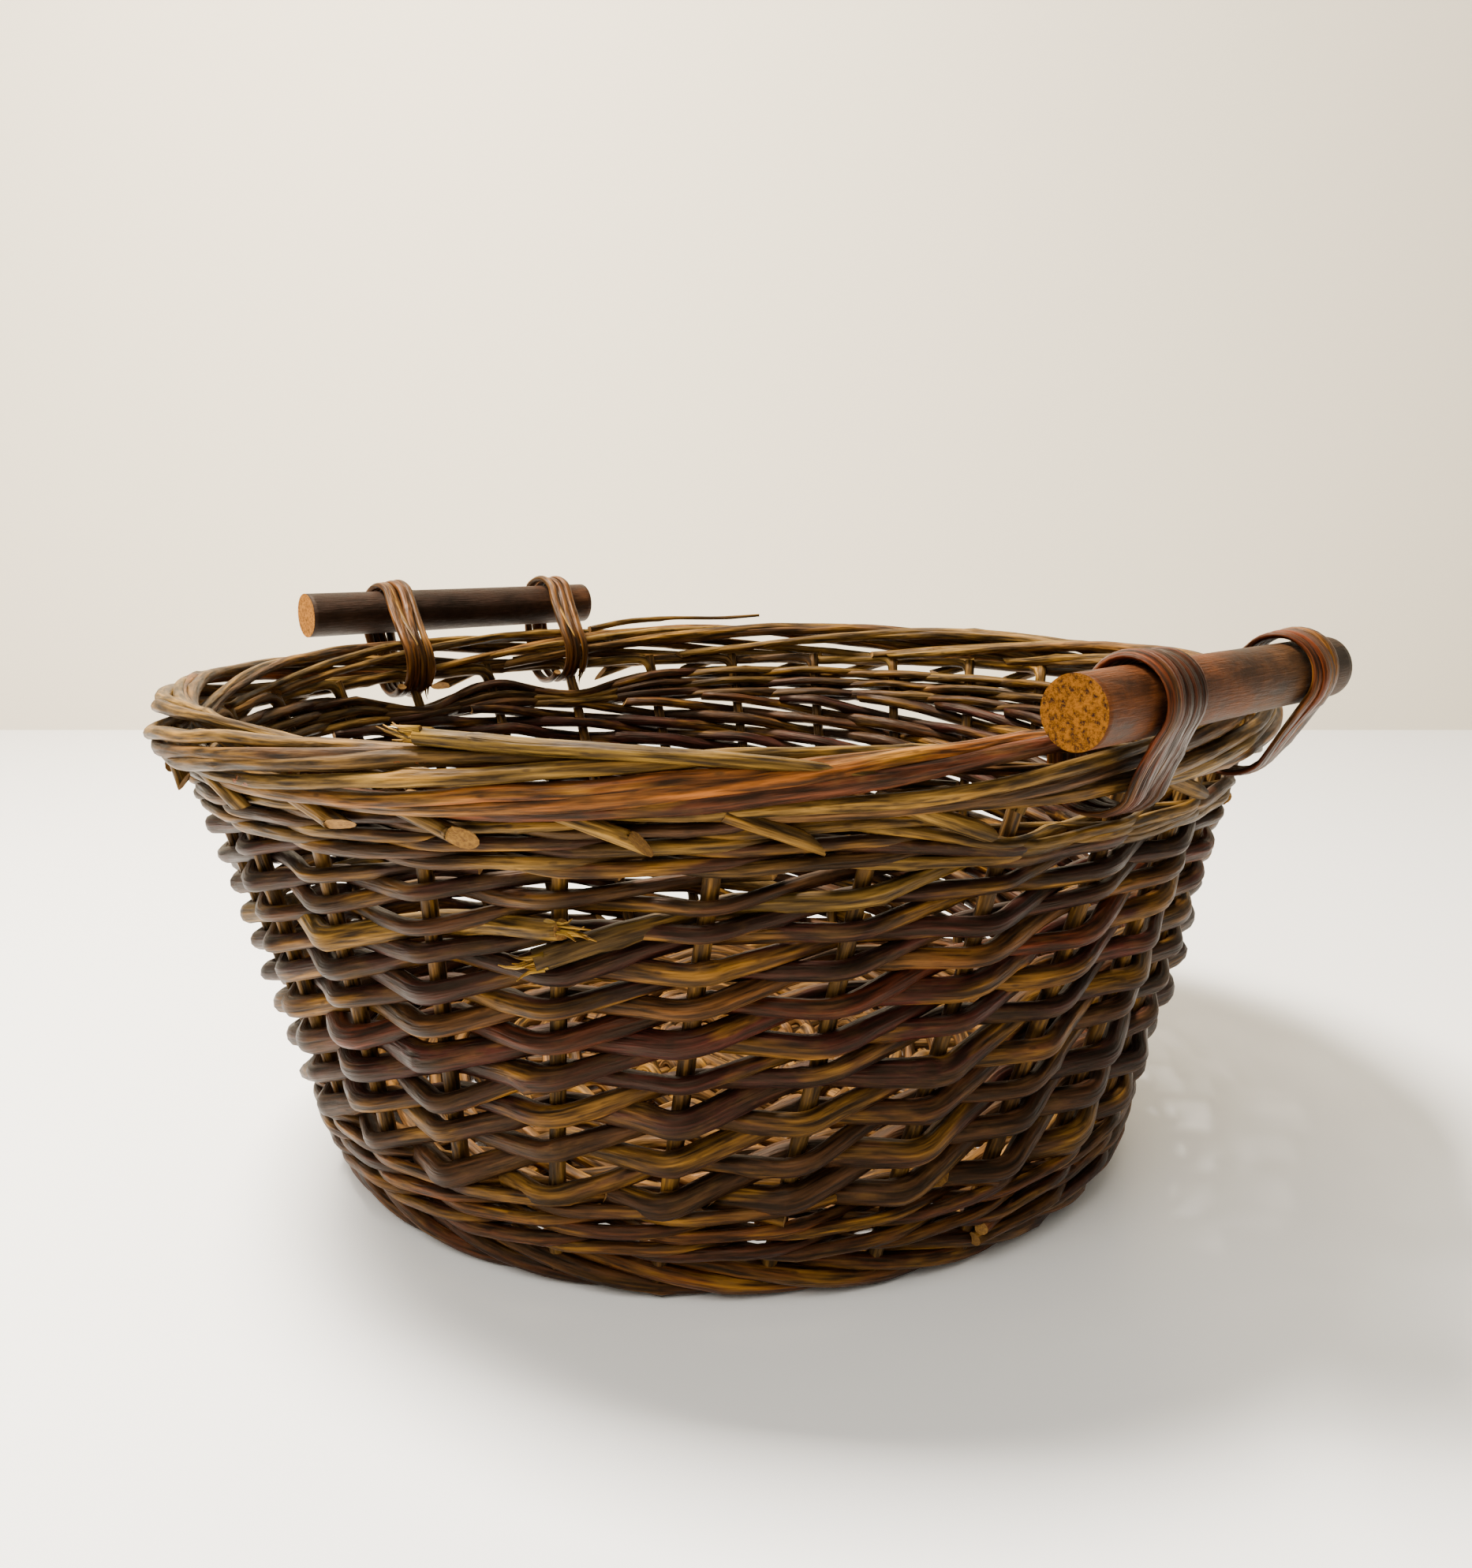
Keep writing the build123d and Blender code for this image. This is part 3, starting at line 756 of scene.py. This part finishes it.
def stick_bark(name, low_shine):
    """Smooth branch bark. The eye sees fine scratches along it, dark stains and worn spots."""
    material, tree, shader = new_material(name)
    bark = add_node(tree, "Attribute", attribute_name="bark").outputs["Vector"]
    skin = add_node(tree, "Attribute", attribute_name="skin").outputs["Color"]
    # Fine scratches are 0.7 mm apart and 12 mm long, and stains 14 mm wide and 28 mm long.
    lengthwise = add_node(tree, "VectorMath", {0: bark, 1: (1.0, 1.0, 0.06)},
                          operation="MULTIPLY").outputs[0]
    scratches = add_node(tree, "TexNoise", {"Vector": lengthwise, "Scale": 1400.0, "Detail": 3.0,
                                            "Roughness": 0.65}).outputs["Fac"]
    stretched = add_node(tree, "VectorMath", {0: bark, 1: (1.0, 1.0, 0.5)},
                         operation="MULTIPLY").outputs[0]
    stains = add_node(tree, "TexNoise", {"Vector": stretched, "Scale": 70.0, "Detail": 6.0,
                                         "Roughness": 0.62}).outputs["Fac"]
    dark = add_node(tree, "MapRange", {"Value": scratches, "From Min": 0.3, "From Max": 0.7,
                                       "To Min": 0.5, "To Max": 1.45}).outputs[0]
    broad = add_node(tree, "MapRange", {"Value": stains, "From Min": 0.36, "From Max": 0.64,
                                        "To Min": 0.3, "To Max": 2.1}).outputs[0]
    both = add_node(tree, "Math", {0: dark, 1: broad}, operation="MULTIPLY").outputs[0]
    coloured = add_node(tree, "VectorMath", {0: skin, "Scale": both},
                        operation="SCALE").outputs[0]
    tree.links.new(coloured, shader.inputs["Base Color"])
    rough = add_node(tree, "MapRange", {"Value": stains, "From Min": 0.3, "From Max": 0.7,
                                        "To Min": low_shine, "To Max": low_shine + 0.2})
    tree.links.new(rough.outputs[0], shader.inputs["Roughness"])
    shader.inputs["Specular IOR Level"].default_value = 0.25
    shader.inputs["Specular Tint"].default_value = (*linear("#ecc8a8"), 1)
    bump = add_node(tree, "Bump", {"Height": both, "Strength": 0.6, "Distance": 0.0003})
    tree.links.new(bump.outputs[0], shader.inputs["Normal"])
    return material


def sawn_end(name, pale, dark):
    """A sawn branch end. The eye sees coarse torn fibre, bright crumbs and dark pits."""
    material, tree, shader = new_material(name)
    bark = add_node(tree, "Attribute", attribute_name="bark").outputs["Vector"]
    # Torn fibres are about 1 mm across, and pits 2 mm apart.
    fibre = add_node(tree, "TexNoise", {"Vector": bark, "Scale": 900.0, "Detail": 5.0,
                                        "Roughness": 0.75}).outputs["Fac"]
    pits = add_node(tree, "TexVoronoi", {"Vector": bark, "Scale": 450.0}).outputs["Distance"]
    mixed = add_node(tree, "Math", {0: pits, 1: 0.22, 2: fibre},
                     operation="MULTIPLY_ADD").outputs[0]
    spread = add_node(tree, "MapRange", {"Value": mixed, "From Min": 0.46,
                                         "From Max": 0.72}).outputs[0]
    colour = add_node(tree, "Mix", {0: spread, 6: (*linear(dark), 1), 7: (*linear(pale), 1)},
                      data_type="RGBA").outputs[2]
    tree.links.new(colour, shader.inputs["Base Color"])
    bump = add_node(tree, "Bump", {"Height": mixed, "Strength": 1.0, "Distance": 0.0012})
    tree.links.new(bump.outputs[0], shader.inputs["Normal"])
    shader.inputs["Roughness"].default_value = 0.85
    shader.inputs["Specular IOR Level"].default_value = 0.1
    return material


def stick_line(side):
    """The two ends of a stick's axis, worked out from the joint that the stick turns on."""
    joint = next(j for j in frame["joints"] if j["name"] == side + "_stick_turn")
    middle = np.array(joint["pos_m"]) * 1000
    axis = np.array(joint["axis"], float)
    low, high = (corner * 1000 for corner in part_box(side + "_handle_stick"))
    # The box is longer than the axis, because the round ends, 12 mm in radius, are tilted.
    half = ((high.y - low.y) / 2 - abs(axis[0]) * 12) / axis[1]
    return middle - axis * half, middle + axis * half


stick_radius = 12.7
stick_looks = {
    "right": (["#44220a", "#3a1e0c", "#352110", "#2c1c10"], "#8a5408", "#241202", 0.5),
    "left": (["#170b05", "#130905", "#180c06", "#301a0a"], "#a86c20", "#55330c", 0.52)}
for side, (shades, pale, dark, shine) in stick_looks.items():
    near, far = stick_line(side)
    stations = [near + (far - near) * k / 60 for k in range(61)]
    rod = lay_rod(stations, [stick_radius, stick_radius * 0.975, stick_radius * 0.95], shades,
                  seed=60 + len(side), sides=48, knots=400, lumps=0.012, uneven=0.15)
    piece = make_piece(f"{side}_stick", [rod], stick_bark(f"{side}_branch_bark", shine),
                       sawn_end(f"{side}_sawn_end", pale, dark))
    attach(piece, f"{side}_stick")
    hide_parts(f"{side}_handle_stick")

# ---------------------------------------------------------------------------
# The lashings. A split willow skein, soaked and flat, is wound three to five times round the
# stick and the border, and its ends are tucked under. It dried brown, redder on the right,
# and it lies loose round the border, which leaves the handle room to rock.
# ---------------------------------------------------------------------------
skein_play = 1.6
skein_start = 2.4
skein_step = 3.0
lashing_bark = willow_bark("willow_skein", gloss=0.34, wrinkle_depth=0.7, pale_dust_and_highlight=0.2, tan=0.3)


def oval_reach(place, outward):
    """How far it is from a place near the rim's oval to the oval, in a level direction."""
    a = (outward[0] / rim_half[0]) ** 2 + (outward[1] / rim_half[1]) ** 2
    b = place[0] * outward[0] / rim_half[0] ** 2 + place[1] * outward[1] / rim_half[1] ** 2
    c = (place[0] / rim_half[0]) ** 2 + (place[1] / rim_half[1]) ** 2 - 1
    return (math.sqrt(b * b - a * c) - b) / a


def skein_path(side, stick_places, border_places, layers, start_share=0.0, end_share=0.0):
    """The way of one skein round and round a stick and the border, and how its flat looks.

    The places run along the line that the handle rocks about, one for each turn's start and
    one for the last turn's end. A layer is how far the skein lies off the bark.
    """
    joint = next(j for j in frame["joints"] if j["name"] == side + "_handle_rock")
    middle = np.array(joint["pos_m"]) * 1000
    along = np.array(joint["axis"], float)
    along *= np.sign(along[1])
    outward = np.array([along[1], -along[0], 0.0]) * (1 if side == "right" else -1)
    near, far = stick_line(side)
    turns = len(stick_places) - 1
    angles = np.linspace(0, 2 * math.pi * turns, 72 * turns + 1)
    places, normals = [], []
    for angle in angles:
        turn = angle / (2 * math.pi)
        on_stick = np.interp(turn, range(turns + 1), stick_places)
        on_border = np.interp(turn, range(turns + 1), border_places)
        layer = np.interp(turn, range(turns + 1), layers)
        share = (on_stick - (near - middle).dot(along)) / (far - near).dot(along)
        stick_at = near + (far - near) * share - middle
        border_at = np.array([oval_reach(middle + along * on_border, outward), 0.0])
        stick_at = np.array([stick_at.dot(outward), stick_at[2]])
        look = np.array([math.cos(angle - skein_start), math.sin(angle - skein_start)])
        if stick_at.dot(look) + stick_radius > border_at.dot(look) + border_radius + skein_play:
            spot = stick_at + look * (stick_radius + layer)
        else:
            spot = border_at + look * (border_radius + skein_play + layer)
        link = stick_at - border_at
        rise = min(max((spot - border_at).dot(link) / link.dot(link), 0), 1)
        sideways = on_border + (on_stick - on_border) * rise
        places.append(middle + along * sideways + outward * spot[0] + np.array([0, 0, spot[1]]))
        normals.append(outward * look[0] + np.array([0, 0, look[1]]))
    places, normals = np.array(places), np.array(normals)
    length = np.concatenate([[0], np.cumsum(np.linalg.norm(np.diff(places, axis=0), axis=1))])
    even = np.linspace(length[-1] * start_share, length[-1] * (1 - end_share),
                       int(length[-1] / skein_step))
    places = np.stack([np.interp(even, length, places[:, k]) for k in range(3)], -1)
    normals = np.stack([np.interp(even, length, normals[:, k]) for k in range(3)], -1)
    return places, normals


# For each lashing: how wide it fans on the stick and on the border, how far it slants between
# them, its turns, the width and thickness of the skein, and its colours.
red_skein = ["#2c0f04", "#3d1806", "#230d04", "#371606"]
brown_skein = ["#3a210a", "#47290a", "#331a08", "#4a2d0c"]
lashing_looks = {"right_lashing_front": (13.0, 9.0, 14.0, 5, 3.6, 0.4, red_skein),
                 "right_lashing_back": (9.5, 8.0, 14.0, 4, 3.4, 0.42, red_skein),
                 "left_lashing_front": (9.5, 9.0, -6.0, 4, 2.5, 0.8, brown_skein),
                 "left_lashing_back": (8.5, 8.0, -6.0, 3, 2.5, 0.8, brown_skein)}
for name, (fan, base_fan, slant, turns, width, flat, shade) in lashing_looks.items():
    side = name.split("_")[0]
    joint = next(j for j in frame["joints"] if j["name"] == side + "_handle_rock")
    low, high = (corner * 1000 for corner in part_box(name))
    middle_t = (low.y + high.y) / 2 - joint["pos_m"][1] * 1000
    chance = random.Random(name)
    shares = np.linspace(-1, 1, turns + 1)
    stick_places = [middle_t - slant / 2 + fan * u + chance.uniform(-1.5, 1.5) for u in shares]
    border_places = [middle_t + slant / 2 + base_fan * u for u in shares]
    thickness = width * flat
    layers = [thickness + 0.7 + chance.uniform(0.0, 1.6) for _ in shares]
    places, normals = skein_path(side, stick_places, border_places, layers)
    skeins = [lay_rod(places, [width, width * 1.1, width * 0.85], shade, seed=70 + turns,
                      sides=14, flat=flat, facing=normals, knots=45, lumps=0.22, peel=0.2,
                      waver=0.7)]
    # A strip torn off the skein's edge shows its pale inside and lifts away at the end.
    strip_stick = [middle_t - slant / 2 + chance.uniform(-0.6, 0.6) * fan] * 2
    strip_border = [middle_t + slant / 2 + chance.uniform(-0.5, 0.5) * base_fan] * 2
    strip, looks = skein_path(side, strip_stick, strip_border, [thickness * 2 + 0.3] * 2,
                              start_share=0.5, end_share=0.12)
    lifting = np.linspace(0, 1, len(strip))[:, None] ** 4 * 6.0
    skeins.append(lay_rod(strip + looks * lifting, [1.2, 1.7, 0.4], ["#704917", "#856122"],
                          seed=80 + turns, sides=8, flat=0.35, facing=looks, knots=500))
    skeins += splinters(places[-1], (places[-1] - places[-3]) / 6.0, width, ["#633c13", "#856122"],
                        seed=8000 + turns, count=5)
    piece = make_piece(name + "_skein", skeins, lashing_bark, cut_end)
    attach(piece, f"{side}_handle")
    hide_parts(name)

# ---------------------------------------------------------------------------
# The table, the wall behind it, the light and the camera. The table is white and the wall is
# cream. Soft light falls from a ceiling panel, with a little from the side of a window.
# ---------------------------------------------------------------------------


def plain_surface(name, colour, rough):
    """A painted surface with a faint grain."""
    material, tree, shader = new_material(name)
    place = add_node(tree, "TexCoord").outputs["Object"]
    grain = add_node(tree, "TexNoise", {"Vector": place, "Scale": 3.0, "Detail": 2.0}).outputs[0]
    tone = add_node(tree, "MapRange", {"Value": grain, "To Min": 0.97, "To Max": 1.03}).outputs[0]
    shade = add_node(tree, "VectorMath", {0: tuple(linear(colour)), "Scale": tone},
                     operation="SCALE").outputs[0]
    tree.links.new(shade, shader.inputs["Base Color"])
    shader.inputs["Roughness"].default_value = rough
    return material


bpy.ops.object.select_all(action="DESELECT")
bpy.ops.mesh.primitive_plane_add(size=1, location=(0, 0, 0))
table = bpy.context.object
table.name = "table_top"
table.scale = (6, 6, 1)
table.data.materials.append(plain_surface("white_table", "#fdfdfb", 0.4))

camera_data = bpy.data.cameras.new("camera")
camera_data.sensor_width = 36
camera_data.lens = 32.54
camera = bpy.data.objects.new("camera", camera_data)
bpy.context.scene.collection.objects.link(camera)
view = Vector((-0.741, 0.643, -0.191))
camera.location = (0.5235, -0.4494, 0.3015)
camera.rotation_euler = view.to_track_quat("-Z", "Y").to_euler()
bpy.context.scene.camera = camera

bpy.ops.mesh.primitive_plane_add(size=1, location=(0, 0, 0))
wall = bpy.context.object
wall.name = "back_wall"
away = Vector((view.x, view.y, 0)).normalized()
wall.scale = (8, 5, 1)
wall.rotation_euler = (math.pi / 2, 0, math.atan2(-away.x, away.y))
wall.location = away * 1.25 + Vector((0, 0, 1.5))
wall.data.materials.append(plain_surface("cream_wall", "#e2d8c4", 0.8))


def soft_light(name, place, size, power, colour):
    """A large lamp that points at the basket."""
    data = bpy.data.lights.new(name, "AREA")
    data.size = size
    data.energy = power
    data.color = linear(colour)
    lamp = bpy.data.objects.new(name, data)
    lamp.location = place
    aim = Vector((0, 0, 0.1)) - Vector(place)
    lamp.rotation_euler = aim.to_track_quat("-Z", "Y").to_euler()
    bpy.context.scene.collection.objects.link(lamp)


soft_light("ceiling_panel", (-0.55, -0.45, 1.85), 0.5, 165, "#fff6ea")
soft_light("window_side", (0.5, -1.3, 1.5), 1.2, 30, "#fdf8f0")
world = bpy.data.worlds.new("room")
world.use_nodes = True
world.node_tree.nodes["Background"].inputs["Color"].default_value = (*linear("#e4e0d6"), 1)
world.node_tree.nodes["Background"].inputs["Strength"].default_value = 0.62
bpy.context.scene.world = world
